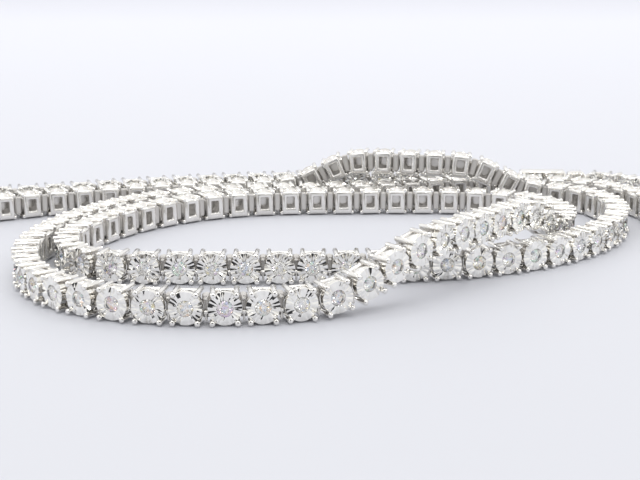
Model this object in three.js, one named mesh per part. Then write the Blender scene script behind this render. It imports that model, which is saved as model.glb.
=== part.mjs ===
// A diamond tennis necklace, one closed loop of small square four-prong links,
// lying in loose curves on a flat surface. The chain stands on edge: its stones
// face sideways, to the right of its direction of travel, and its open back
// faces the other way. Two stretches ride over others where the loops cross.
//
// Each link is only 2.5 mm long, so a stretch of chain is one tube with the
// outer section of the links, and the closed box clasp is a solid of its own.
//
// Millimetres, +Z up, the surface at z = 0, the nearest row of stones facing -Y.
import * as THREE from "three";

// ---------------------------------------------------------------------------
// Driving dimensions
// ---------------------------------------------------------------------------

const CHAIN_HEIGHT = 2.5; // across the chain, upright as it stands
const STONE_DEPTH = 1.3; // from the hinge line to the prong tips
const BACK_DEPTH = 0.8; // from the hinge line to the open back
const CORNER = 0.35; // flat along each edge, where the prong rails are round

const JOIN_GAP = 0.3; // between one solid and the next along the chain
const CROSSING_GAP = 0.3; // air under a stretch that rides over another

const CLASP_TAB = 0.45; // narrow tab at each end of the clasp, for its neighbour's hinge
const CLASP_TAB_HEIGHT = 1.5;
const CLASP_HALF_DEPTH = 0.8; // from the hinge line to each broad face of the clasp
const CLASP_GRIP = 1.7; // end of the tongue that the fingers press
const CLASP_SLOT = 0.3; // width and depth of the line between box and tongue

const SPAN_SAMPLES = 40; // samples of the route between two of its points

const WHITE_GOLD = { color: 0xdcdce0, metalness: 1.0, roughness: 0.22 };

// The loop, from the clasp round to the clasp. Each row is one solid: how many
// links long it is, how many links its tube spans in a step, and the points
// [x, y] that guide the smooth route along it.
const STRETCHES = [
  {
    name: "clasp",
    links: 3,
    points: [[22.1, 22.5], [26.7, 22.3]],
  },
  {
    name: "right_loop",
    links: 21,
    linksPerStep: 1,
    points: [
      [31.4, 21.8], [34.1, 18.8], [36.1, 13.8], [38.7, 9.4], [41.7, 5.0], [42.7, 0.7], [39.7, -3.5],
      [35.1, -3.0], [32.8, 0.6], [32.8, 6.0], [32.3, 11.6],
    ],
  },
  {
    name: "back_right",
    links: 10,
    linksPerStep: 2,
    points: [[30.1, 16.4], [25.9, 19.0], [19.9, 19.4], [14.9, 18.2], [9.1, 16.3]],
  },
  {
    name: "back_left",
    links: 7,
    linksPerStep: 2,
    points: [[2.4, 15.1], [-4.3, 14.6], [-9.7, 13.1]],
  },
  {
    name: "outer_bend",
    links: 13,
    linksPerStep: 1,
    points: [[-14.1, 9.8], [-17.3, 5.2], [-19.5, -0.5], [-20.4, -6.1], [-19.8, -11.3], [-18.2, -15.8]],
  },
  {
    name: "front_row",
    links: 9,
    linksPerStep: 2,
    points: [[-14.8, -19.5], [-10.1, -21.7], [-5.1, -22.3], [-0.1, -21.7], [4.5, -19.9]],
  },
  {
    name: "front_crossing",
    links: 8,
    linksPerStep: 1,
    points: [[8.6, -16.7], [12.4, -12.5], [16.2, -8.1]],
  },
  {
    name: "right_turn",
    links: 8,
    linksPerStep: 1,
    points: [[20.2, -3.6], [23.3, 1.1], [23.9, 6.3], [21.7, 10.7]],
  },
  {
    name: "centre_back",
    links: 15,
    linksPerStep: 2,
    points: [
      [16.7, 12.8], [10.7, 12.8], [4.1, 12.6], [-2.2, 12.4], [-7.6, 10.6], [-12.0, 7.2], [-15.0, 3.2],
    ],
  },
  {
    name: "inner_bend",
    links: 6,
    linksPerStep: 1,
    points: [[-16.7, -0.8], [-17.8, -4.3], [-17.4, -8.1], [-15.3, -10.9]],
  },
  {
    name: "centre_front",
    links: 12,
    linksPerStep: 2,
    points: [[-11.6, -11.8], [-6.8, -11.7], [-0.9, -11.6], [5.7, -11.5], [11.6, -10.8], [16.6, -9.2]],
  },
  {
    name: "right_bend",
    links: 11,
    linksPerStep: 1,
    points: [[21.9, -5.8], [26.0, -1.4], [28.4, 3.6], [28.9, 8.8], [27.4, 13.8]],
  },
  {
    name: "back_crossing",
    links: 15,
    linksPerStep: 1,
    points: [[22.9, 16.2], [17.1, 16.2], [10.9, 17.1], [4.9, 18.9], [-1.1, 18.2]],
  },
  {
    name: "rear_middle",
    links: 11,
    linksPerStep: 2,
    points: [[-8.0, 17.1], [-14.7, 15.1], [-20.9, 12.7], [-26.6, 10.2], [-31.5, 6.4]],
  },
  {
    name: "left_turn",
    links: 9,
    linksPerStep: 1,
    points: [[-36.1, 2.8], [-41.3, 3.3], [-42.9, 8.6], [-39.5, 13.0], [-34.5, 13.4]],
  },
  {
    name: "rear_left",
    links: 12,
    linksPerStep: 2,
    points: [[-29.7, 13.1], [-24.3, 14.6], [-18.4, 16.9], [-11.8, 19.3], [-4.7, 20.8]],
  },
  {
    name: "rear_right",
    links: 14,
    linksPerStep: 2,
    points: [[1.7, 21.8], [8.3, 22.2], [14.1, 22.4], [18.1, 22.5]],
  },
];

// Where the chain climbs over another stretch, as distances along the route in
// plan: it leaves the surface at rise, is fully raised from top to leave, and is
// down again at land.
const CROSSINGS = [
  { rise: 157.2, top: 168.0, leave: 179.8, land: 187.2 },
  { rise: 316.6, top: 324.7, leave: 334.4, land: 342.0 },
];

// ---------------------------------------------------------------------------
// The route
// ---------------------------------------------------------------------------

// Samples of the closed uniform cubic B-spline that the points guide.
function splineSamples(points) {
  const samples = [];
  points.forEach((_, i) => {
    const near = [-1, 0, 1, 2].map((k) => points[(i + k + points.length) % points.length]);
    for (let step = 0; step < SPAN_SAMPLES; step++) {
      const t = step / SPAN_SAMPLES;
      const weights = [
        (1 - t) ** 3 / 6,
        (3 * t ** 3 - 6 * t ** 2 + 4) / 6,
        (-3 * t ** 3 + 3 * t ** 2 + 3 * t + 1) / 6,
        t ** 3 / 6,
      ];
      const blend = (axis) => weights.reduce((sum, weight, k) => sum + weight * near[k][axis], 0);
      samples.push(new THREE.Vector3(blend(0), blend(1), 0));
    }
  });
  return samples;
}

// Distance along the closed line of samples to each of them, and back to the first.
function distancesAlong(samples) {
  const distances = [0];
  samples.forEach((sample, i) => {
    const next = samples[(i + 1) % samples.length];
    distances.push(distances[i] + sample.distanceTo(next));
  });
  return distances;
}

// Height of the chain's underside at a distance along the route in plan.
function liftAt(distance) {
  const heights = CROSSINGS.map(({ rise, top, leave, land }) => {
    const climb = THREE.MathUtils.smoothstep(distance, rise, top);
    const descent = 1 - THREE.MathUtils.smoothstep(distance, leave, land);
    return Math.min(climb, descent) * (CHAIN_HEIGHT + CROSSING_GAP);
  });
  return Math.max(...heights);
}

// The hinge line of the whole chain, in space and closed.
const samples = splineSamples(STRETCHES.flatMap((stretch) => stretch.points));
const planDistances = distancesAlong(samples);
samples.forEach((sample, i) => sample.setZ(CHAIN_HEIGHT / 2 + liftAt(planDistances[i])));
const distances = distancesAlong(samples);
const chainLength = distances.at(-1);

function pointAt(distance) {
  let i = 0;
  while (i < samples.length - 1 && distances[i + 1] <= distance) i++;
  const share = (distance - distances[i]) / (distances[i + 1] - distances[i]);
  return samples[i].clone().lerp(samples[(i + 1) % samples.length], share);
}

// Directions of the upright section where the chain runs along a tangent.
function uprightSection(tangent) {
  const toStones = tangent.clone().cross(new THREE.Vector3(0, 0, 1)).normalize();
  const up = toStones.clone().cross(tangent);
  return { up, toStones };
}

// Part of the hinge line, with sections that stay upright along it.
class ChainCurve extends THREE.Curve {
  constructor(start, end) {
    super();
    this.start = start;
    this.end = end;
  }

  getPoint(t) {
    return pointAt(this.start + t * (this.end - this.start));
  }

  computeFrenetFrames(steps) {
    const frames = { tangents: [], normals: [], binormals: [] };
    for (let i = 0; i <= steps; i++) {
      const tangent = this.getTangentAt(i / steps);
      const { up, toStones } = uprightSection(tangent);
      frames.tangents.push(tangent);
      frames.normals.push(up);
      frames.binormals.push(toStones);
    }
    return frames;
  }
}

// ---------------------------------------------------------------------------
// Pieces
// ---------------------------------------------------------------------------

// A closed outline through points [x, y].
function outlineOf(points) {
  return new THREE.Shape(points.map(([x, y]) => new THREE.Vector2(x, y)));
}

// Outer section of the links: x is up, y is towards the stones.
function chainSection() {
  const top = CHAIN_HEIGHT / 2;
  return outlineOf([
    [-top + CORNER, -BACK_DEPTH],
    [top - CORNER, -BACK_DEPTH],
    [top, -BACK_DEPTH + CORNER],
    [top, STONE_DEPTH - CORNER],
    [top - CORNER, STONE_DEPTH],
    [-top + CORNER, STONE_DEPTH],
    [-top, STONE_DEPTH - CORNER],
    [-top, -BACK_DEPTH + CORNER],
  ]);
}

// A stretch of chain between two distances along the hinge line.
function chainTube(stretch, start, end) {
  const geometry = new THREE.ExtrudeGeometry(chainSection(), {
    steps: Math.ceil(stretch.links / stretch.linksPerStep),
    extrudePath: new ChainCurve(start, end),
  });
  return new THREE.Mesh(geometry, new THREE.MeshStandardMaterial(WHITE_GOLD));
}

// The clasp, in one piece: a plain box, the grip of its tongue behind a thin
// slot, and a narrow tab at each end. Its outline has x along the chain, y up.
function claspBox(start, end) {
  const from = pointAt(start);
  const to = pointAt(end);
  const half = from.distanceTo(to) / 2;
  const top = CHAIN_HEIGHT / 2;
  const slot = half - CLASP_TAB - CLASP_GRIP;
  const upper = [
    [-half, CLASP_TAB_HEIGHT / 2],
    [-half + CLASP_TAB, CLASP_TAB_HEIGHT / 2],
    [-half + CLASP_TAB, top],
    [slot - CLASP_SLOT, top],
    [slot - CLASP_SLOT, top - CLASP_SLOT],
    [slot, top - CLASP_SLOT],
    [slot, top],
    [half - CLASP_TAB, top],
    [half - CLASP_TAB, CLASP_TAB_HEIGHT / 2],
    [half, CLASP_TAB_HEIGHT / 2],
  ];
  const lower = upper.map(([x, y]) => [x, -y]).reverse();
  const geometry = new THREE.ExtrudeGeometry(outlineOf([...lower, ...upper]), {
    depth: 2 * CLASP_HALF_DEPTH,
    bevelEnabled: false,
  });
  geometry.translate(0, 0, -CLASP_HALF_DEPTH);

  const tangent = to.clone().sub(from).normalize();
  const { up, toStones } = uprightSection(tangent);
  const mesh = new THREE.Mesh(geometry, new THREE.MeshStandardMaterial(WHITE_GOLD));
  mesh.position.copy(from.lerp(to, 0.5));
  mesh.quaternion.setFromRotationMatrix(new THREE.Matrix4().makeBasis(tangent, up, toStones));
  return mesh;
}

// ---------------------------------------------------------------------------
// The necklace
// ---------------------------------------------------------------------------

const linkTotal = STRETCHES.reduce((sum, stretch) => sum + stretch.links, 0);
const pitch = chainLength / linkTotal;

const necklace = new THREE.Group();
let linksBefore = 0;
for (const stretch of STRETCHES) {
  const start = linksBefore * pitch + JOIN_GAP / 2;
  linksBefore += stretch.links;
  const end = linksBefore * pitch - JOIN_GAP / 2;
  const isClasp = stretch.name === "clasp";
  const piece = isClasp ? claspBox(start, end) : chainTube(stretch, start, end);
  piece.name = stretch.name;
  necklace.add(piece);
}

export default necklace;
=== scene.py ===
# %% [markdown]
# # A diamond tennis necklace
#
# This lesson dresses a small necklace for its close-up. A tennis necklace is one
# closed chain of square links. Each link is a basket of four prongs, and holds a
# small brilliant in a round bright-cut plate that makes the stone look larger.
# The chain lies in loose curves, standing on edge.
#
# The construction model is loaded first. It is a frame that is never moved: it
# says where every stretch of the chain lies, and every new piece takes its place.

# %% Load the frame
import math
import random

import bpy
import numpy as np
from mathutils import Matrix, Vector


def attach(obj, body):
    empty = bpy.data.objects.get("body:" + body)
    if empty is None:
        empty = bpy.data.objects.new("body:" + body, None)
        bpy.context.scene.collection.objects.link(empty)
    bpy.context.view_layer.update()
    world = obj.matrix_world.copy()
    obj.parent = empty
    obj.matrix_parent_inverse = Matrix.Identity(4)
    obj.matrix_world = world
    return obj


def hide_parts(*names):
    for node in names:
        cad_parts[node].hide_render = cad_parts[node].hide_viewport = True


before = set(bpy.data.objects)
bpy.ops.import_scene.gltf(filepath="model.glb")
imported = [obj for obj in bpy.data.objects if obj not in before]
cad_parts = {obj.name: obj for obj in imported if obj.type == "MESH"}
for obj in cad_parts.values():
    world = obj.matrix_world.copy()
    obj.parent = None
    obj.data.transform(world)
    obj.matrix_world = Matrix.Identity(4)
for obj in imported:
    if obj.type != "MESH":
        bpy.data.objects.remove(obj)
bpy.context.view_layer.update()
scene = bpy.context.scene
print("nodes in the frame:", len(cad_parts))

# %% [markdown]
# ## The sizes of a link
#
# A jeweller thinks in millimetres, and Blender's tools have tolerances of about a
# tenth of a millimetre when a unit is a metre. So a link is modelled large, a unit
# for each millimetre, and every copy is scaled to metres as it goes to its place.
#
# In a link, X runs along the chain, Z is up and -Y is where the stone faces. The
# hinges lie on the line Y = 0.

# %% Driving sizes, in millimetres
MM = 0.001  # metres in a millimetre

CHAIN_HEIGHT = 2.5  # room that a strand takes; its links are 0.05 less above and below
STONE_DEPTH = 1.3  # from the hinge line to the prong tips
BACK_DEPTH = 0.8  # how far behind the hinge line a link may reach
CROSSING_GAP = 0.3  # between one strand and the strand that climbs over it

TIP_RADIUS = 0.22  # ball at the end of a prong
PRONG_RADIUS = 0.2
TIP_PLACES = ((-0.775, 0.97), (0.775, 0.97), (-0.855, -0.97), (0.855, -0.97))
PRONG_BACK = (0.81, 1.0)  # X and Z of a prong at the back of the link

PLATE_RADIUS = 1.15
PLATE_Y = -0.98  # front of the plate
STONE_RADIUS = 0.56
GIRDLE_Y = -0.965  # the widest part of the stone
print(f"a link fits in {CHAIN_HEIGHT} mm of height and {STONE_DEPTH + BACK_DEPTH:.1f} mm of depth")

# %% [markdown]
# ## The route of the chain
#
# The chain follows the same closed curve as its frame. Each row names a stretch,
# says how many links long it is, and lists the points, in millimetres, that guide
# the curve along it. A uniform cubic B-spline passes close to its points and has no
# sudden change of bend, as a chain of small hinges has none.

# %% The stretches of the chain
STRETCHES = [
    ("clasp", 3, [(22.1, 22.5), (26.7, 22.3)]),
    ("right_loop", 21, [
        (31.4, 21.8), (34.1, 18.8), (36.1, 13.8), (38.7, 9.4), (41.7, 5.0), (42.7, 0.7), (39.7, -3.5),
        (35.1, -3.0), (32.8, 0.6), (32.8, 6.0), (32.3, 11.6),
    ]),
    ("back_right", 10, [(30.1, 16.4), (25.9, 19.0), (19.9, 19.4), (14.9, 18.2), (9.1, 16.3)]),
    ("back_left", 7, [(2.4, 15.1), (-4.3, 14.6), (-9.7, 13.1)]),
    ("outer_bend", 13, [
        (-14.1, 9.8), (-17.3, 5.2), (-19.5, -0.5), (-20.4, -6.1), (-19.8, -11.3), (-18.2, -15.8),
    ]),
    ("front_row", 9, [(-14.8, -19.5), (-10.1, -21.7), (-5.1, -22.3), (-0.1, -21.7), (4.5, -19.9)]),
    ("front_crossing", 8, [(8.6, -16.7), (12.4, -12.5), (16.2, -8.1)]),
    ("right_turn", 8, [(20.2, -3.6), (23.3, 1.1), (23.9, 6.3), (21.7, 10.7)]),
    ("centre_back", 15, [
        (16.7, 12.8), (10.7, 12.8), (4.1, 12.6), (-2.2, 12.4), (-7.6, 10.6), (-12.0, 7.2), (-15.0, 3.2),
    ]),
    ("inner_bend", 6, [(-16.7, -0.8), (-17.8, -4.3), (-17.4, -8.1), (-15.3, -10.9)]),
    ("centre_front", 12, [
        (-11.6, -11.8), (-6.8, -11.7), (-0.9, -11.6), (5.7, -11.5), (11.6, -10.8), (16.6, -9.2),
    ]),
    ("right_bend", 11, [(21.9, -5.8), (26.0, -1.4), (28.4, 3.6), (28.9, 8.8), (27.4, 13.8)]),
    ("back_crossing", 15, [(22.9, 16.2), (17.1, 16.2), (10.9, 17.1), (4.9, 18.9), (-1.1, 18.2)]),
    ("rear_middle", 11, [(-8.0, 17.1), (-14.7, 15.1), (-20.9, 12.7), (-26.6, 10.2), (-31.5, 6.4)]),
    ("left_turn", 9, [(-36.1, 2.8), (-41.3, 3.3), (-42.9, 8.6), (-39.5, 13.0), (-34.5, 13.4)]),
    ("rear_left", 12, [(-29.7, 13.1), (-24.3, 14.6), (-18.4, 16.9), (-11.8, 19.3), (-4.7, 20.8)]),
    ("rear_right", 14, [(1.7, 21.8), (8.3, 22.2), (14.1, 22.4), (18.1, 22.5)]),
]

LINK_TOTAL = sum(links for _, links, _ in STRETCHES)
print("stretches:", len(STRETCHES), "guide points:", sum(len(row[2]) for row in STRETCHES))

# %% [markdown]
# The spline is sampled finely enough to be measured as a line of short steps. The
# same weights serve every span, so one helper does the whole curve.

# %% The curve in plan
SPAN_SAMPLES = 40


def spline_samples(points):
    """Points of the closed cubic B-spline that the points guide, as rows of x, y."""
    guide = np.array(points)
    t = np.arange(SPAN_SAMPLES)[:, None] / SPAN_SAMPLES
    weights = (
        (1 - t) ** 3 / 6,
        (3 * t**3 - 6 * t**2 + 4) / 6,
        (-3 * t**3 + 3 * t**2 + 3 * t + 1) / 6,
        t**3 / 6,
    )
    spans = []
    for i in range(len(guide)):
        near = [guide[(i + k) % len(guide)] for k in (-1, 0, 1, 2)]
        spans.append(sum(weight * point for weight, point in zip(weights, near)))
    return np.concatenate(spans)


def distances_along(samples):
    """Distance to each sample of a closed line, and back to the first."""
    steps = np.linalg.norm(np.roll(samples, -1, axis=0) - samples, axis=1)
    return np.concatenate([[0.0], np.cumsum(steps)])


plan = spline_samples([point for _, _, points in STRETCHES for point in points])
print("samples of the curve:", len(plan))

# %% [markdown]
# Twice the chain crosses over itself. There it climbs to its own height and a small
# gap, stays up, and comes down again. A smoothstep has no kink at either end, so the
# links at the foot of the climb don't jump.

# %% The climbs
# Rise, top, leave and land of each, as distances along the curve in plan.
CROSSINGS = [(157.2, 168.0, 179.8, 187.2), (316.6, 324.7, 334.4, 342.0)]


def smoothstep(value, low, high):
    """Goes from 0 at low to 1 at high, level at both ends."""
    share = np.clip((value - low) / (high - low), 0, 1)
    return share * share * (3 - 2 * share)


def lift(distance):
    """Height of the chain's underside at distances along the route in plan."""
    height = np.zeros_like(distance)
    for rise, top, leave, land in CROSSINGS:
        climb = smoothstep(distance, rise, top)
        descent = 1 - smoothstep(distance, leave, land)
        height = np.maximum(height, np.minimum(climb, descent) * (CHAIN_HEIGHT + CROSSING_GAP))
    return height


heights = CHAIN_HEIGHT / 2 + lift(distances_along(plan)[:-1])
route = np.column_stack([plan, heights])
print(f"highest point of the hinge line: {heights.max():.2f} mm")

# %% [markdown]
# Hinges stand at equal distances along the route. The number of links is known, so
# the pitch follows from the length of the curve, and the chain closes exactly.

# %% The hinge points
distances = distances_along(route)
pitch = distances[-1] / LINK_TOTAL
closed_route = np.vstack([route, route[:1]])
hinge_distances = np.arange(LINK_TOTAL + 1) * pitch
hinges = [
    Vector([np.interp(d, distances, closed_route[:, axis]) for axis in range(3)])
    for d in hinge_distances
]
print(f"chain: {distances[-1]:.1f} mm round, {LINK_TOTAL} pitches of {pitch:.3f} mm")


# %% [markdown]
# A link spans two hinge points. Its X runs from one to the other, and its Y points
# away from the stones, which face the right-hand side of the direction of travel.


# %% The place of each link
def place_between(start, end):
    """Matrix that carries a link, modelled in millimetres, to its place in metres."""
    along = (end - start).normalized()
    away = Vector((0, 0, 1)).cross(along).normalized()
    up = along.cross(away)
    middle = (start + end) / 2 * MM
    turn = Matrix((along, away, up)).transposed().to_4x4()
    return Matrix.Translation(middle) @ turn @ Matrix.Scale(MM, 4)


# %% [markdown]
# ## Helpers for modelling
#
# Most parts of a link are turned shapes: a prong, the cup of the basket, the plate.
# Each starts as a filled circle. Its face is extruded from ring to ring and resized
# at each, as if it was turned on a lathe, and the last face closes it. The rest are
# blocks with broken edges.


# %% Selecting
def activate(piece):
    """Makes one object the only selected one."""
    bpy.ops.object.select_all(action="DESELECT")
    piece.select_set(True)
    bpy.context.view_layer.objects.active = piece


def select_faces(piece, chosen):
    """In edit mode, selects the faces for which chosen(face) is true."""
    activate(piece)
    bpy.ops.object.mode_set(mode="EDIT")
    bpy.ops.mesh.select_mode(type="FACE")
    bpy.ops.mesh.select_all(action="DESELECT")
    bpy.ops.object.mode_set(mode="OBJECT")
    for face in piece.data.polygons:
        face.select = chosen(face)
    bpy.ops.object.mode_set(mode="EDIT")


def select_points(piece, chosen):
    """In edit mode, selects the points for which chosen(place) is true."""
    activate(piece)
    bpy.ops.object.mode_set(mode="EDIT")
    bpy.ops.mesh.select_mode(type="VERT")
    bpy.ops.mesh.select_all(action="DESELECT")
    bpy.ops.object.mode_set(mode="OBJECT")
    for point in piece.data.vertices:
        point.select = chosen(point.co)
    bpy.ops.object.mode_set(mode="EDIT")


# %% Turned shapes and blocks
def turned(name, rings, sides):
    """A closed shape turned about Y, through rings of (y, radius)."""
    last_y, last_radius = rings[0]
    bpy.ops.object.select_all(action="DESELECT")
    bpy.ops.mesh.primitive_circle_add(
        vertices=sides,
        radius=last_radius,
        fill_type="NGON",
        location=(0, last_y, 0),
        rotation=(math.pi / 2, 0, 0),
    )
    piece = bpy.context.object
    piece.name = name
    bpy.ops.object.transform_apply(location=True, rotation=True, scale=True)
    bpy.ops.object.mode_set(mode="EDIT")
    bpy.ops.mesh.select_all(action="SELECT")
    for y, radius in rings[1:]:
        bpy.ops.mesh.extrude_region_move(TRANSFORM_OT_translate={"value": (0, y - last_y, 0)})
        ratio = radius / last_radius
        bpy.ops.transform.resize(value=(ratio, 1, ratio), center_override=(0, y, 0))
        last_y, last_radius = y, radius
    bpy.ops.mesh.select_all(action="SELECT")
    bpy.ops.mesh.normals_make_consistent(inside=False)
    bpy.ops.object.mode_set(mode="OBJECT")
    return piece


def block(name, place, size, edge):
    """A box of that size about a place, with its edges broken by a flat of that width."""
    bpy.ops.object.select_all(action="DESELECT")
    bpy.ops.mesh.primitive_cube_add(size=1, location=place)
    piece = bpy.context.object
    piece.name = name
    piece.scale = size
    bpy.ops.object.transform_apply(location=True, rotation=True, scale=True)
    rounding = piece.modifiers.new("edges", "BEVEL")
    rounding.width = edge
    rounding.segments = 1
    bpy.ops.object.modifier_apply(modifier=rounding.name)
    return piece


# %% Copying, joining and smoothing
def copy_to(piece, matrix):
    """A copy with a mesh of its own, placed by a matrix in its mesh."""
    double = piece.copy()
    double.data = piece.data.copy()
    double.data.transform(matrix)
    scene.collection.objects.link(double)
    return double


def joined(name, parts):
    """Joins several objects into the first of them."""
    bpy.ops.object.select_all(action="DESELECT")
    for part in parts:
        part.select_set(True)
    bpy.context.view_layer.objects.active = parts[0]
    bpy.ops.object.join()
    parts[0].name = name
    parts[0].data.name = name
    return parts[0]


def smooth_by_angle(piece, degrees):
    """Smooths a piece, and keeps edges sharper than that angle crisp."""
    activate(piece)
    bpy.ops.object.shade_smooth_by_angle(angle=math.radians(degrees))


def report(piece):
    """Prints how fine a shape is, and proves that it is closed."""
    uses = {}
    for face in piece.data.polygons:
        for key in face.edge_keys:
            uses[key] = uses.get(key, 0) + 1
    open_edges = sum(1 for count in uses.values() if count != 2)
    print(f"{piece.name}: {len(piece.data.polygons)} faces, {open_edges} open edges")


# %% [markdown]
# A polishing wheel doesn't reach the inside of a basket or the slot of a hinge, so
# those faces are left duller. They are also painted darker and greyer: that is
# painted shade, put where shade falls between the parts, and it is what makes the
# gaps between links read as gaps. The flat back of a link, which lies on the neck
# and isn't seen, is polished only lightly and gets a little painted shade too. How
# much painted shade a face gets could be painted in a texture, but on parts this
# small a number for each face is enough. The metal reads it later.


# %% Marking where shade is painted
SHADE_FROM_Y = -0.2  # the wheel gets from the front to this place on Y; faces behind it get painted shade


def paint_shade_and_dullness(piece, shade_amount):
    """Writes how much painted shade, with dullness, each face gets, from 0 to 1, in a face attribute.
    """
    shade_and_dull = piece.data.attributes.new("shade_and_dull", "FLOAT", "FACE")
    for face, mark in zip(piece.data.polygons, shade_and_dull.data):
        mark.value = float(shade_amount(face))


# %% [markdown]
# ## Prongs
#
# Four wires run back through the basket. In front each is melted to a ball and
# pressed flatter, and the ball holds the plate down. The two upper balls are
# pushed closer together than the lower ones, and behind, all four wires end at the
# corners of one rectangle. So the upper ones spread and the lower ones draw in. A
# wire is turned straight, and then its back end is moved, which slants it.

# %% Model the four prongs
BALL_TURNS = (20, 50, 85, 125)  # degrees from the front of the ball, one ring at each
BALL_FLATNESS = 0.6  # depth of the ball over its width
PRONG_SIDES = 8
PRONG_NECK = 0.5  # from the tip to where the ball has become the wire
PRONG_END = 0.72  # Y of the end, just short of the back of the link
PRONG_TAIL = ((0.12, PRONG_RADIUS), (0.03, 0.15), (0.0, 0.08))  # (before the end, radius)
PRONG_RINGS = [
    (
        BALL_FLATNESS * TIP_RADIUS * (1 - math.cos(math.radians(turn))) - STONE_DEPTH,
        TIP_RADIUS * math.sin(math.radians(turn)),
    )
    for turn in BALL_TURNS
]
PRONG_RINGS += [(PRONG_NECK - STONE_DEPTH, PRONG_RADIUS)]
PRONG_RINGS += [(PRONG_END - before, radius) for before, radius in PRONG_TAIL]


def prong(x, z):
    """A wire with its ball in front at x, z."""
    wire = turned("prong", PRONG_RINGS, PRONG_SIDES)
    wire.data.transform(Matrix.Translation((x, 0, z)))
    slant = (math.copysign(PRONG_BACK[0], x) - x, 0, math.copysign(PRONG_BACK[1], z) - z)
    select_points(wire, lambda co: co.y > 0)
    bpy.ops.transform.translate(value=slant)
    bpy.ops.object.mode_set(mode="OBJECT")
    return wire


prongs = joined("prongs", [prong(x, z) for x, z in TIP_PLACES])
smooth_by_angle(prongs, 60)
report(prongs)

# %% [markdown]
# ## The cup
#
# Between the prongs is a round cup in two tiers. From above, the rim of the plate
# shows as one bright arc, the tiers as two more, and a dark slit parts them. The
# cup is open behind, down to a bore under the stone, so its profile turns round at
# the back and runs forward again inside.

# %% Turn the cup
CUP_SIDES = 18
CUP_BORE = 0.66  # within this radius the cup is its own inside
# painted shade inside the cup and at its back, as a share from 0 to 1
CUP_SHADE = 0.4
CUP_RINGS = [
    (-0.46, 0.62),
    (-0.82, 1.06),
    (-0.80, 1.12),
    (-0.57, 1.16),
    (-0.53, 1.06),
    (-0.47, 1.06),
    (-0.43, 1.15),
    (-0.20, 1.12),
    (0.38, 0.82),
    (0.38, 0.66),
    (-0.36, 0.40),
]


def cup_shade_amount(face):
    """Painted shade, with dullness, inside the cup and behind the reach of the wheel."""
    inside = math.hypot(face.center.x, face.center.z) < CUP_BORE
    return CUP_SHADE if inside or face.center.y > SHADE_FROM_Y else 0


cup = turned("cup", CUP_RINGS, CUP_SIDES)
smooth_by_angle(cup, 40)
# painted shade, where shade falls inside the cup
paint_shade_and_dullness(cup, cup_shade_amount)
report(cup)

# %% [markdown]
# ## The back
#
# The back of a link is a flat frame with a tall hole, and the light falls through
# it into the cup. It starts as a box. Its front and back faces are inset, and the
# two inner faces are bridged, which cuts the hole and lines it in one step. A
# boolean would cut it too, but leaves a less even mesh for the bevel that follows.

# %% Model the back frame
BACK_SIZE = (1.6, 0.44, 1.98)  # along the chain, through it, and upright
BACK_SPARE = 0.02  # kept free behind it
BACK_MIDDLE_Y = BACK_DEPTH - BACK_SPARE - BACK_SIZE[1] / 2
BACK_BOTTOM = -BACK_SIZE[2] / 2
BACK_FOOT = 0.14  # how much further it reaches down than up
BACK_INSET = 0.42
BACK_EDGE = 0.16
# a little painted shade over the whole back, which also dulls it
BACK_SHADE = 0.3
HOLE_SCALE = (0.95, 1, 0.95)  # the hole is a little smaller than the inset makes it

bpy.ops.object.select_all(action="DESELECT")
bpy.ops.mesh.primitive_cube_add(size=1, location=(0, BACK_MIDDLE_Y, 0))
back = bpy.context.object
back.name = "back"
back.scale = BACK_SIZE
bpy.ops.object.transform_apply(location=True, rotation=True, scale=True)
select_faces(back, lambda face: abs(face.normal.y) > 0.9)
bpy.ops.mesh.inset(thickness=BACK_INSET, use_individual=True)
bpy.ops.transform.resize(value=HOLE_SCALE, center_override=(0, BACK_MIDDLE_Y, 0))
bpy.ops.mesh.bridge_edge_loops()
bpy.ops.object.mode_set(mode="OBJECT")
select_points(back, lambda co: co.z < BACK_BOTTOM + 0.05)
bpy.ops.transform.translate(value=(0, 0, -BACK_FOOT))
bpy.ops.object.mode_set(mode="OBJECT")
rounding = back.modifiers.new("edges", "BEVEL")
rounding.width = BACK_EDGE
rounding.segments = 2
activate(back)
bpy.ops.object.modifier_apply(modifier=rounding.name)
smooth_by_angle(back, 50)
# the whole back gets the same painted shade
paint_shade_and_dullness(back, lambda face: BACK_SHADE)
report(back)

# %% [markdown]
# ## The hinge
#
# Two lugs, one above the other, reach from link to link and turn on a core. The
# upper lug slopes forward and widens, the lower one ends in a fin, and between them
# is a slot where the ribs of the core show. All of them are blocks, because at this
# size a broken edge is the only shape that the eye can find on them.

# %% Model the upper lug
UPPER_LUG_TILT = math.radians(17)
UPPER_LUG_PLACE = (0, 0.08, 0.62)
UPPER_LUG_NARROWING = 0.55  # width of its back end over that of its front end

upper_lug = block("upper_lug", place=(0, 0, 0), size=(0.3, 0.9, 0.16), edge=0.05)
select_points(upper_lug, lambda co: co.y > 0)
bpy.ops.transform.resize(value=(UPPER_LUG_NARROWING, 1, 1), center_override=(0, 0, 0))
bpy.ops.object.mode_set(mode="OBJECT")
upper_lug.data.transform(
    Matrix.Translation(UPPER_LUG_PLACE) @ Matrix.Rotation(UPPER_LUG_TILT, 4, "X")
)
report(upper_lug)

# %% Model the rest of the hinge
RIB_OFFSET = 0.09
# painted shade on the hinge: some on its front, nearly full inside the slot
HINGE_FRONT_SHADE = 0.4
HINGE_INSIDE_SHADE = 0.9

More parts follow.
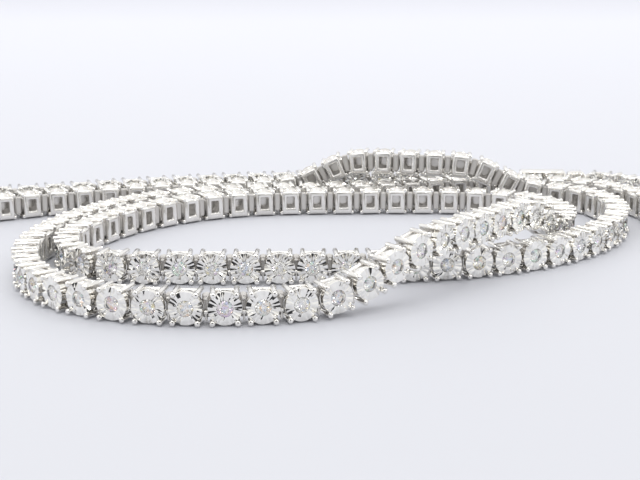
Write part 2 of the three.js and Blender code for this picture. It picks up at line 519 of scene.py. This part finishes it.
lower_lug = block("lower_lug", place=(0, -0.24, -0.4), size=(0.36, 0.5, 0.28), edge=0.06)
fin = block("fin", place=(0, -0.2, -0.74), size=(0.15, 0.5, 0.52), edge=0.03)
core = block("core", place=(0, 0.14, 0), size=(0.56, 0.6, 1.6), edge=0.1)
ribs = [
    block("rib", place=(x, -0.17, 0.15), size=(0.07, 0.1, 1.1), edge=0.02)
    for x in (-RIB_OFFSET, RIB_OFFSET)
]
hinge = joined("hinge", [core, upper_lug, lower_lug, fin] + ribs)
smooth_by_angle(hinge, 35)
# painted shade, darkest in the slot between the links
paint_shade_and_dullness(
    hinge,
    lambda face: HINGE_INSIDE_SHADE if face.center.y > SHADE_FROM_Y else HINGE_FRONT_SHADE,
)
report(hinge)

# %% [markdown]
# ## The bright-cut plate
#
# The plate is what makes a small stone look large. A graver has cut pairs of grooves
# into it that run out from the stone, each wider and deeper towards the rim, and
# between the pairs stand low petals. Two of the eight pairs are cut deep, so that
# the flanks of a groove stand nearly square to each other at the rim. Such flanks
# send light back the way it came: a deep groove that points across the line of sight
# mirrors the dark lens, and is black, and its neighbour is white. The plate is turned
# first, and then single points of its rings are pushed.

# %% The pattern of the plate
SPOKES = 48
SPOKES_A_PETAL = 6
GROOVES = (0, 2)  # spokes of a petal's share that are grooves
PETAL_MIDDLE = 4
PETAL_EDGES = (3, 5)
DEEP_PETALS = (0, 5)  # petals whose pair of grooves is cut deep
SHALLOW = 0.3  # depth of the other grooves over that of the deep ones
# At each ring of the face: how deep the grooves go, and how high a petal stands in
# its middle and at its edges.
FACE_RINGS = [
    {"radius": PLATE_RADIUS, "groove": 0.14, "petal": 0.02, "edge": 0.0},
    {"radius": 0.82, "groove": 0.07, "petal": 0.045, "edge": 0.02},
    {"radius": 0.57, "groove": 0.0, "petal": 0.0, "edge": 0.0},
]
POCKET_RADIUS = 0.54  # the stone sits in a pocket, and hides its edge
POCKET_STEP = 0.025
# From behind, round the rim, over the face and down the pocket, as (y, radius).
PLATE_RINGS = [
    (-0.50, 0.60),
    (-0.835, 1.08),
    (-0.835, PLATE_RADIUS),
    *((PLATE_Y, ring["radius"]) for ring in FACE_RINGS),
    (PLATE_Y + POCKET_STEP, POCKET_RADIUS),
    (-0.50, 0.05),
]
print("petals:", SPOKES // SPOKES_A_PETAL, "of them deep:", len(DEEP_PETALS))


# %% Choosing and pushing points of the plate
def spoke_of(co):
    """Number of the spoke that a point lies on."""
    return round(math.atan2(co.z, co.x) / math.tau * SPOKES) % SPOKES


def push_face_points(radius, chosen, push):
    """Pushes back the points of one ring of the front face, on the chosen spokes."""
    select_points(
        plate,
        lambda co: abs(co.y - PLATE_Y) < 0.005
        and abs(math.hypot(co.x, co.z) - radius) < 0.01
        and chosen(spoke_of(co)),
    )
    bpy.ops.transform.translate(value=(0, push, 0))
    bpy.ops.object.mode_set(mode="OBJECT")


def is_groove(spoke):
    return spoke % SPOKES_A_PETAL in GROOVES


def is_deep(spoke):
    return is_groove(spoke) and spoke // SPOKES_A_PETAL in DEEP_PETALS


def is_shallow(spoke):
    return is_groove(spoke) and not is_deep(spoke)


def is_petal_middle(spoke):
    return spoke % SPOKES_A_PETAL == PETAL_MIDDLE


def is_petal_edge(spoke):
    return spoke % SPOKES_A_PETAL in PETAL_EDGES


# %% Model the plate
plate = turned("plate", PLATE_RINGS, SPOKES)
for ring in FACE_RINGS:
    push_face_points(ring["radius"], is_deep, ring["groove"])
    push_face_points(ring["radius"], is_shallow, ring["groove"] * SHALLOW)
    push_face_points(ring["radius"], is_petal_middle, -ring["petal"])
    push_face_points(ring["radius"], is_petal_edge, -ring["edge"])
report(plate)

# %% [markdown]
# ## The stone
#
# A round brilliant is a set of flat facets between a few rings of points. Because
# it bulges everywhere, its facets are the convex hull of those points: the table,
# the points between stars and kites, the girdle, and the pavilion down to a tip.

# %% Cut the stone
# Radius, and rise in front of the girdle, over the radius of the stone. The turn is
# a share of the step from point to point.
STONE_RINGS = [
    {"points": 8, "radius": 0.55, "rise": 0.32, "turn": 0.5},
    {"points": 8, "radius": 0.77, "rise": 0.215, "turn": 0.0},
    {"points": 16, "radius": 1.0, "rise": 0.02, "turn": 0.0},
    {"points": 16, "radius": 1.0, "rise": -0.03, "turn": 0.0},
    {"points": 8, "radius": 0.27, "rise": -0.655, "turn": 0.0},
    {"points": 4, "radius": 0.02, "rise": -0.88, "turn": 0.0},
]

rings = []
for ring in STONE_RINGS:
    bpy.ops.object.select_all(action="DESELECT")
    bpy.ops.mesh.primitive_circle_add(
        vertices=ring["points"],
        radius=ring["radius"] * STONE_RADIUS,
        location=(0, GIRDLE_Y - ring["rise"] * STONE_RADIUS, 0),
        rotation=(math.pi / 2, math.tau / ring["points"] * ring["turn"], 0),
    )
    bpy.ops.object.transform_apply(location=True, rotation=True, scale=True)
    rings.append(bpy.context.object)
stone = joined("stone", rings)
bpy.ops.object.mode_set(mode="EDIT")
bpy.ops.mesh.select_all(action="SELECT")
bpy.ops.mesh.convex_hull(join_triangles=True)
bpy.ops.mesh.select_all(action="SELECT")
bpy.ops.mesh.normals_make_consistent(inside=False)
bpy.ops.object.mode_set(mode="OBJECT")
report(stone)

# %% [markdown]
# ## The clasp
#
# A box clasp joins the ends of the chain. A tongue with a grip for the fingers
# slides into a box and clicks. Both are blocks with broken edges, and a line is
# left open between them. A narrow tab at each end takes the hinge of the next link.
# The clasp is shown closed, as one plain piece.

# %% Model the clasp
CLASP_LENGTH = 6.5  # box and tongue together
CLASP_HEIGHT = 2.3
CLASP_DEPTH = 1.56
GRIP_LENGTH = 1.7
CLASP_SLOT = 0.24
SLOT_SHADE_REACH = 0.16  # faces this near the middle of the slot get painted shade
TONGUE_LENGTH = 1.2
TONGUE_LEAD = 1.0  # how far its middle lies ahead of the middle of the grip
GRIP_SHARES = (0.8, 0.86)  # its depth and height over those of the box
TONGUE_SHARES = (0.6, 0.6)
TAB_SIZE = (1.0, 0.9, 1.4)
GRIP_RIBS = 4
GRIP_RIB_PITCH = 0.3
GRIP_RIB_SIZE = (0.14, CLASP_DEPTH * 0.9, CLASP_HEIGHT)

box_length = CLASP_LENGTH - GRIP_LENGTH - CLASP_SLOT
box_x = (box_length - CLASP_LENGTH) / 2
grip_x = (CLASP_LENGTH - GRIP_LENGTH) / 2
tongue_x = grip_x - TONGUE_LEAD
slot_x = box_x + box_length / 2 + CLASP_SLOT / 2
box_size = (box_length, CLASP_DEPTH, CLASP_HEIGHT)
grip_size = (GRIP_LENGTH, CLASP_DEPTH * GRIP_SHARES[0], CLASP_HEIGHT * GRIP_SHARES[1])
tongue_size = (TONGUE_LENGTH, CLASP_DEPTH * TONGUE_SHARES[0], CLASP_HEIGHT * TONGUE_SHARES[1])

clasp_parts = [
    block("box", place=(box_x, 0, 0), size=box_size, edge=0.16),
    block("grip", place=(grip_x, 0, 0), size=grip_size, edge=0.12),
    block("tongue", place=(tongue_x, 0, 0), size=tongue_size, edge=0.05),
    block("box_tab", place=(-CLASP_LENGTH / 2, 0, 0), size=TAB_SIZE, edge=0.08),
    block("grip_tab", place=(CLASP_LENGTH / 2, 0, 0), size=TAB_SIZE, edge=0.08),
]
for k in range(GRIP_RIBS):
    rib_x = grip_x + (k - (GRIP_RIBS - 1) / 2) * GRIP_RIB_PITCH
    clasp_parts.append(block("grip_rib", place=(rib_x, 0, 0), size=GRIP_RIB_SIZE, edge=0.04))
clasp = joined("box_clasp", clasp_parts)
smooth_by_angle(clasp, 40)
# painted shade in the line between box and grip
paint_shade_and_dullness(clasp, lambda face: abs(face.center.x - slot_x) < SLOT_SHADE_REACH)
report(clasp)

# %% [markdown]
# ## Metal and stone
#
# Polished white gold is a mirror with a trace of warm grey. What makes it look like
# metal that is worn is how its gloss varies: hairlines from handling, and faint
# clouds left by polishing. One node group gives both to every metal here.


# %% Helpers for the nodes
def new_material(name):
    """A material, with its nodes, its links and its shader."""
    material = bpy.data.materials.new(name)
    material.use_nodes = True
    tree = material.node_tree
    return material, tree.nodes, tree.links, tree.nodes["Principled BSDF"]


def noise(nodes, scale, detail):
    """A noise texture. In metres, a scale of 1000 makes clouds of about 1 mm."""
    texture = nodes.new("ShaderNodeTexNoise")
    texture.inputs["Scale"].default_value = scale
    texture.inputs["Detail"].default_value = detail
    return texture


def map_range(nodes, source, target):
    """A node that carries one range of numbers, low and high, to another."""
    mapped = nodes.new("ShaderNodeMapRange")
    mapped.inputs["From Min"].default_value, mapped.inputs["From Max"].default_value = source
    mapped.inputs["To Min"].default_value, mapped.inputs["To Max"].default_value = target
    return mapped


def colour_ramp(nodes, stops):
    """A colour ramp through stops of (position, colour), from low to high."""
    ramp = nodes.new("ShaderNodeValToRGB")
    elements = ramp.color_ramp.elements
    for element, (position, colour) in zip(elements, (stops[0], stops[-1])):
        element.position = position
        element.color = (*colour, 1)
    for position, colour in stops[1:-1]:
        elements.new(position).color = (*colour, 1)
    return ramp


# %% Handling marks, shared by the metals
CLOUD_SCALE = 900
HAIRLINE_SCALE = 700
HAIRLINE_TURN = (0.4, 0.9, 0.3)
HAIRLINE_STRETCH = (1.0, 14.0, 14.0)


def handling_marks():
    """Group that gives a roughness and a bump height from clouds and hairlines."""
    group = bpy.data.node_groups.new("handling_marks", "ShaderNodeTree")
    for name, direction in (
        ("Base Roughness", "INPUT"),
        ("Wear", "INPUT"),
        ("Roughness", "OUTPUT"),
        ("Height", "OUTPUT"),
    ):
        group.interface.new_socket(name=name, in_out=direction, socket_type="NodeSocketFloat")
    nodes, links = group.nodes, group.links
    inputs = nodes.new("NodeGroupInput")
    outputs = nodes.new("NodeGroupOutput")
    place = nodes.new("ShaderNodeTexCoord")
    clouds = noise(nodes, CLOUD_SCALE, 3)
    links.new(place.outputs["Object"], clouds.inputs["Vector"])

    stretch = nodes.new("ShaderNodeMapping")
    stretch.inputs["Rotation"].default_value = HAIRLINE_TURN
    stretch.inputs["Scale"].default_value = HAIRLINE_STRETCH
    links.new(place.outputs["Object"], stretch.inputs["Vector"])
    hairlines = noise(nodes, HAIRLINE_SCALE, 2)
    links.new(stretch.outputs["Vector"], hairlines.inputs["Vector"])

    blend = nodes.new("ShaderNodeMath")
    blend.operation = "MULTIPLY"
    links.new(clouds.outputs["Fac"], blend.inputs[0])
    links.new(hairlines.outputs["Fac"], blend.inputs[1])
    worn = nodes.new("ShaderNodeMath")
    worn.operation = "MULTIPLY_ADD"
    links.new(blend.outputs[0], worn.inputs[0])
    links.new(inputs.outputs["Wear"], worn.inputs[1])
    links.new(inputs.outputs["Base Roughness"], worn.inputs[2])
    links.new(worn.outputs[0], outputs.inputs["Roughness"])
    links.new(hairlines.outputs["Fac"], outputs.inputs["Height"])
    return group


MARKS = handling_marks()
print("shared group:", MARKS.name)

# %% [markdown]
# The metal mixes three tones. Clean and tarnished white gold lie in soft clouds, and
# where a face is marked for painted shade, a darker, duller grey takes over; that
# grey is painted shade.
# Setting and plate are the same alloy. They differ in polish: the plate is cut with a
# sharp graver and never touched again, so it is the brighter and smoother.


# %% The metals
# Painted shade: a darker grey, less metallic and duller, where shade falls
PAINTED_SHADE_COLOUR = (0.6, 0.58, 0.56)
SHADE_METALLIC = 0.25
SHADE_ROUGHNESS = 0.42
TARNISH_SCALE = 420
TARNISH_RANGE = (0.38, 0.62)  # values of the noise from all tarnished to all clean
BUMP_DEPTH = 0.01 * MM


def metal(name, colour, tarnish, roughness, wear, bump):
    """A polished metal: colour where clean, tarnish in faint clouds, painted shade, dark and dull,
    where a face is marked for it.
    """
    material, nodes, links, shader = new_material(name)
    # how much painted shade each face carries
    shade_and_dull = nodes.new("ShaderNodeAttribute")
    shade_and_dull.attribute_name = "shade_and_dull"
    shine = map_range(nodes, (0, 1), (1, SHADE_METALLIC))
    links.new(shade_and_dull.outputs["Fac"], shine.inputs["Value"])
    links.new(shine.outputs["Result"], shader.inputs["Metallic"])

    marks = nodes.new("ShaderNodeGroup")
    marks.node_tree = MARKS
    marks.inputs["Base Roughness"].default_value = roughness
    marks.inputs["Wear"].default_value = wear
    dullness = nodes.new("ShaderNodeMix")
    dullness.inputs["B"].default_value = SHADE_ROUGHNESS
    links.new(shade_and_dull.outputs["Fac"], dullness.inputs["Factor"])
    links.new(marks.outputs["Roughness"], dullness.inputs["A"])
    links.new(dullness.outputs["Result"], shader.inputs["Roughness"])
    relief = nodes.new("ShaderNodeBump")
    relief.inputs["Strength"].default_value = bump
    relief.inputs["Distance"].default_value = BUMP_DEPTH
    links.new(marks.outputs["Height"], relief.inputs["Height"])
    links.new(relief.outputs["Normal"], shader.inputs["Normal"])

    place = nodes.new("ShaderNodeTexCoord")
    clouds = noise(nodes, TARNISH_SCALE, 4)
    links.new(place.outputs["Object"], clouds.inputs["Vector"])
    tone = colour_ramp(nodes, [(TARNISH_RANGE[0], tarnish), (TARNISH_RANGE[1], colour)])
    links.new(clouds.outputs["Fac"], tone.inputs["Fac"])
    # mixes the painted shade into the colour
    painted_shade = nodes.new("ShaderNodeMixRGB")
    painted_shade.inputs["Color2"].default_value = (*PAINTED_SHADE_COLOUR, 1)
    links.new(shade_and_dull.outputs["Fac"], painted_shade.inputs["Fac"])
    links.new(tone.outputs["Color"], painted_shade.inputs["Color1"])
    links.new(painted_shade.outputs["Color"], shader.inputs["Base Color"])
    return material


# %% White gold, as polished and as cut
WHITE_GOLD = metal(
    "white_gold",
    colour=(0.96, 0.945, 0.915),
    tarnish=(0.87, 0.85, 0.815),
    roughness=0.05,
    wear=0.2,
    bump=0.2,
)
BRIGHT_CUT = metal(
    "bright_cut_gold",
    colour=(0.97, 0.96, 0.925),
    tarnish=(0.9, 0.885, 0.85),
    roughness=0.015,
    wear=0.05,
    bump=0.05,
)
print("metals:", WHITE_GOLD.name, BRIGHT_CUT.name)

# %% [markdown]
# Diamond is clear and bends light strongly, so its facets mirror each other. It
# also splits white light, which a plain shader doesn't. A faint tint on some of the
# facets stands for that, written on the mesh as an attribute.


# %% The diamond
DIAMOND_IOR = 2.42


def diamond():
    """Clear stone, with a tint for each facet from its own attribute."""
    material, nodes, links, shader = new_material("diamond")
    shader.inputs["Transmission Weight"].default_value = 1.0
    shader.inputs["IOR"].default_value = DIAMOND_IOR
    shader.inputs["Roughness"].default_value = 0.0
    fire = nodes.new("ShaderNodeAttribute")
    fire.attribute_name = "fire"
    links.new(fire.outputs["Color"], shader.inputs["Base Color"])
    return material


DIAMOND = diamond()
print("stone:", DIAMOND.name)

# %% [markdown]
# ## Links along the route
#
# Now the parts of one link are copied to every place. No two links of a real chain
# stand at quite the same angle, because there is play in the hinges, so each turns
# a little about its upright axis. A tight bend takes up that play. The plates were
# set by hand, each at an angle of its own. Each stretch becomes three pieces: its
# settings, its plates and its stones.

# %% The master parts
setting = joined("setting", [prongs, cup, back])
setting.data.materials.append(WHITE_GOLD)
hinge.data.materials.append(WHITE_GOLD)
plate.data.materials.append(BRIGHT_CUT)
stone.data.materials.append(DIAMOND)
clasp.data.materials.append(WHITE_GOLD)
report(setting)

# %% Chance, and how much of it the bends leave
SEED = 21
HINGE_PLAY = math.radians(4.0)
TIGHTEST_BEND = math.radians(20.0)  # at each hinge, where no play is left
FIRE_SHARE = 0.16
FIRES = [(1.0, 0.85, 0.4), (0.5, 0.65, 1.0), (0.8, 0.6, 1.0), (1.0, 0.68, 0.5), (0.6, 1.0, 0.8)]
NO_FIRE = (1.0, 1.0, 1.0)

chance = random.Random(SEED)


def give_fire(piece):
    """Tints a few facets, as a stone splits white light."""
    fire = piece.data.attributes.new("fire", "FLOAT_COLOR", "FACE")
    for facet in fire.data:
        tint = chance.choice(FIRES) if chance.random() < FIRE_SHARE else NO_FIRE
        facet.color = (*tint, 1.0)


def play_left(k):
    """Share of the hinge play that the bend of the chain leaves to link k."""
    before = hinges[k] - hinges[k - 1]
    after = hinges[(k + 2) % LINK_TOTAL] - hinges[k + 1]
    bend = before.angle(after) / 2
    return max(0.0, 1 - (bend / TIGHTEST_BEND) ** 2)


shares = [play_left(k) for k in range(STRETCHES[0][1], LINK_TOTAL)]
print(f"share of the play left to the links: {min(shares):.2f} to {max(shares):.2f}")


# %% The places of a link's parts
def link_places(k):
    """Place of link k's setting, and that of its plate and stone."""
    place = place_between(hinges[k], hinges[k + 1])
    play_turn = chance.uniform(-HINGE_PLAY, HINGE_PLAY) * play_left(k)
    play = Matrix.Rotation(play_turn, 4, "Z")
    spin = Matrix.Rotation(chance.uniform(0, math.tau), 4, "Y")
    return place @ play, place @ play @ spin


def hinge_place(k):
    """Place of the hinge before link k, midway between the lines of its two links."""
    before = (hinges[k - 1] + hinges[k]) / 2
    after = (hinges[k] + hinges[k + 1]) / 2
    at_hinge = place_between(before, after)
    at_hinge.translation = hinges[k] * MM
    return at_hinge


def finish_piece(piece):
    """Gives a piece its body."""
    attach(piece, "root")


# %% Copy the link to each place
first = STRETCHES[0][1]
for name, links, _ in STRETCHES[1:]:
    settings, plates, stones = [], [], []
    for k in range(first, first + links):
        at_link, at_stone = link_places(k)
        settings.append(copy_to(setting, at_link))
        plates.append(copy_to(plate, at_stone))
        stones.append(copy_to(stone, at_stone))
        settings.append(copy_to(hinge, hinge_place(k)))
    first += links
    piece = joined(f"{name}_settings", settings)
    finish_piece(piece)
    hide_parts(name)
    finish_piece(joined(f"{name}_plates", plates))
    stone_row = joined(f"{name}_stones", stones)
    give_fire(stone_row)
    finish_piece(stone_row)
print("links placed:", first - STRETCHES[0][1])

# %% Place the clasp, and remove the masters
clasp.data.transform(place_between(hinges[0], hinges[STRETCHES[0][1]]))
finish_piece(clasp)
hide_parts(STRETCHES[0][0])
for master in (setting, hinge, plate, stone):
    bpy.data.objects.remove(master)

# %% [markdown]
# ## The studio
#
# Polished metal shows whatever is round it, so jewellery is shot in a white tent. The
# pieces stand on plain pale board. It is nearly matt, because a glossy one would
# double the chain. Its colour is painted darker near the camera and lighter towards
# the back: painted light, standing for the fall of the tent's light across the board.

# %% The floor
FLOOR_SIZE = 8
FLOOR_ROUGHNESS = 0.5
FLOOR_GLOSS = 0.25
FLOOR_NEAR_FAR = (-0.05, 0.3)  # where on Y the painted light starts and stops changing
# painted light: darker near the camera, lighter towards the back
FLOOR_NEAR_SHADED = (0.61, 0.618, 0.66)
FLOOR_FAR_LIT = (0.76, 0.77, 0.84)

bpy.ops.object.select_all(action="DESELECT")
bpy.ops.mesh.primitive_plane_add(size=FLOOR_SIZE, location=(0, 0, 0))
floor = bpy.context.object
floor.name = "floor"
floor_paint, nodes, links, shader = new_material("floor_paint")
shader.inputs["Roughness"].default_value = FLOOR_ROUGHNESS
shader.inputs["Specular IOR Level"].default_value = FLOOR_GLOSS
place = nodes.new("ShaderNodeTexCoord")
axes = nodes.new("ShaderNodeSeparateXYZ")
links.new(place.outputs["Object"], axes.inputs["Vector"])
far = map_range(nodes, FLOOR_NEAR_FAR, (0, 1))
links.new(axes.outputs["Y"], far.inputs["Value"])
tone = colour_ramp(nodes, [(0, FLOOR_NEAR_SHADED), (1, FLOOR_FAR_LIT)])
links.new(far.outputs["Result"], tone.inputs["Fac"])
links.new(tone.outputs["Color"], shader.inputs["Base Color"])
floor.data.materials.append(floor_paint)
print(f"floor: {FLOOR_SIZE} m square")

# %% [markdown]
# The camera looks down on the chain at a low angle. Its own lens matters as much: the
# metal mirrors the dark front of it, as a dot in each ball and as the black flanks of
# the plates. A disc just behind the camera's place stands for the lens. Only
# reflections show it, so it casts no shadow and is never in the way of the view. The
# floor mirrors it as well, which shows as a grey patch when seen from behind.

# %% The camera
CAMERA_PLACE = Vector((2.4, -102.3, 25.0)) * MM
CAMERA_PITCH = math.radians(13.5)
LENS_LENGTH = 70.03  # millimetres, as the camera has it
SENSOR_WIDTH = 36

camera = bpy.data.objects.new("camera", bpy.data.cameras.new("camera"))
scene.collection.objects.link(camera)
camera.location = CAMERA_PLACE
camera.rotation_euler = (math.pi / 2 - CAMERA_PITCH, 0, 0)
camera.data.lens = LENS_LENGTH
camera.data.sensor_width = SENSOR_WIDTH
camera.data.clip_start = 1 * MM
scene.camera = camera
print(f"camera: {CAMERA_PLACE.z / MM:.1f} mm above the floor")

# %% The lens that the metal mirrors
LENS_RADIUS = 36 * MM
LENS_SETBACK = Vector((0, -2 * MM, 0))
LENS_COLOUR = (0.01, 0.01, 0.012)

bpy.ops.object.select_all(action="DESELECT")
bpy.ops.mesh.primitive_circle_add(
    vertices=48,
    radius=LENS_RADIUS,
    fill_type="NGON",
    location=CAMERA_PLACE + LENS_SETBACK,
    rotation=(math.pi / 2 - CAMERA_PITCH, 0, 0),
)
lens_front = bpy.context.object
lens_front.name = "lens_front"
lens_front.visible_camera = False
lens_front.visible_transmission = False
lens_front.visible_diffuse = False
lens_front.visible_shadow = False
lens_black, _, _, shader = new_material("lens_black")
shader.inputs["Base Color"].default_value = (*LENS_COLOUR, 1)
lens_front.data.materials.append(lens_black)
print(f"lens: {2 * LENS_RADIUS / MM:.0f} mm across")

# %% [markdown]
# The tent could be built of white walls, but a world whose colour depends on the
# direction lights the pieces the same way. It is grey near the floor, white above,
# and a little dimmer on the side where the camera stands. That grey is what draws the
# shape of the metal.

# %% The tent
TENT_TONES = [(0.0, (0.6, 0.605, 0.63)), (0.22, (0.9, 0.9, 0.91)), (0.9, (0.91, 0.91, 0.9))]
TENT_FRONT = (-1.0, -0.4)  # Y of the directions over which the tent brightens
TENT_STRENGTH = (0.95, 1.1)

world = bpy.data.worlds.new("tent")
world.use_nodes = True
scene.world = world
nodes, links = world.node_tree.nodes, world.node_tree.links
background = nodes["Background"]
place = nodes.new("ShaderNodeTexCoord")
axes = nodes.new("ShaderNodeSeparateXYZ")
links.new(place.outputs["Generated"], axes.inputs["Vector"])
height = colour_ramp(nodes, TENT_TONES)
links.new(axes.outputs["Z"], height.inputs["Fac"])
links.new(height.outputs["Color"], background.inputs["Color"])
front = map_range(nodes, TENT_FRONT, TENT_STRENGTH)
links.new(axes.outputs["Y"], front.inputs["Value"])
links.new(front.outputs["Result"], background.inputs["Strength"])
print("tent tones:", len(TENT_TONES))

# %% [markdown]
# The tent alone would be too even. A wide lamp overhead gives soft shadows, and small
# ones all round make the facets sparkle. Turned by the golden angle from one to the
# next, they are spread over the dome without a pattern that the eye could find.

# %% The lamps
OVERHEAD = {"place": (0, 0.1, 0.5), "shape": "SQUARE", "size": 0.4, "power": 0.5}
SPARKLE = {"shape": "DISK", "size": 0.035, "power": 0.045}
SPARKLE_LAMPS = 16
SPARKLE_DISTANCE = 0.5
SPARKLE_LOWEST = 18  # degrees above the floor
SPARKLE_SPAN = 55
GOLDEN_TURN = math.radians(137.5)


def lamp_at(name, place, shape, size, power):
    """An area lamp that faces the middle of the necklace."""
    light = bpy.data.lights.new(name, "AREA")
    light.shape = shape
    light.size = size
    light.energy = power
    lamp = bpy.data.objects.new(name, light)
    scene.collection.objects.link(lamp)
    lamp.location = place
    lamp.rotation_euler = (-Vector(place)).to_track_quat("-Z", "Y").to_euler()


lamp_at("overhead", **OVERHEAD)
for k in range(SPARKLE_LAMPS):
    turn = k * GOLDEN_TURN
    rise = math.radians(SPARKLE_LOWEST + SPARKLE_SPAN * (k + 0.5) / SPARKLE_LAMPS)
    aim = Vector((math.cos(turn) * math.cos(rise), math.sin(turn) * math.cos(rise), math.sin(rise)))
    lamp_at(f"sparkle_{k}", aim * SPARKLE_DISTANCE, **SPARKLE)
scene.view_settings.view_transform = "Standard"
print("lamps:", SPARKLE_LAMPS + 1)
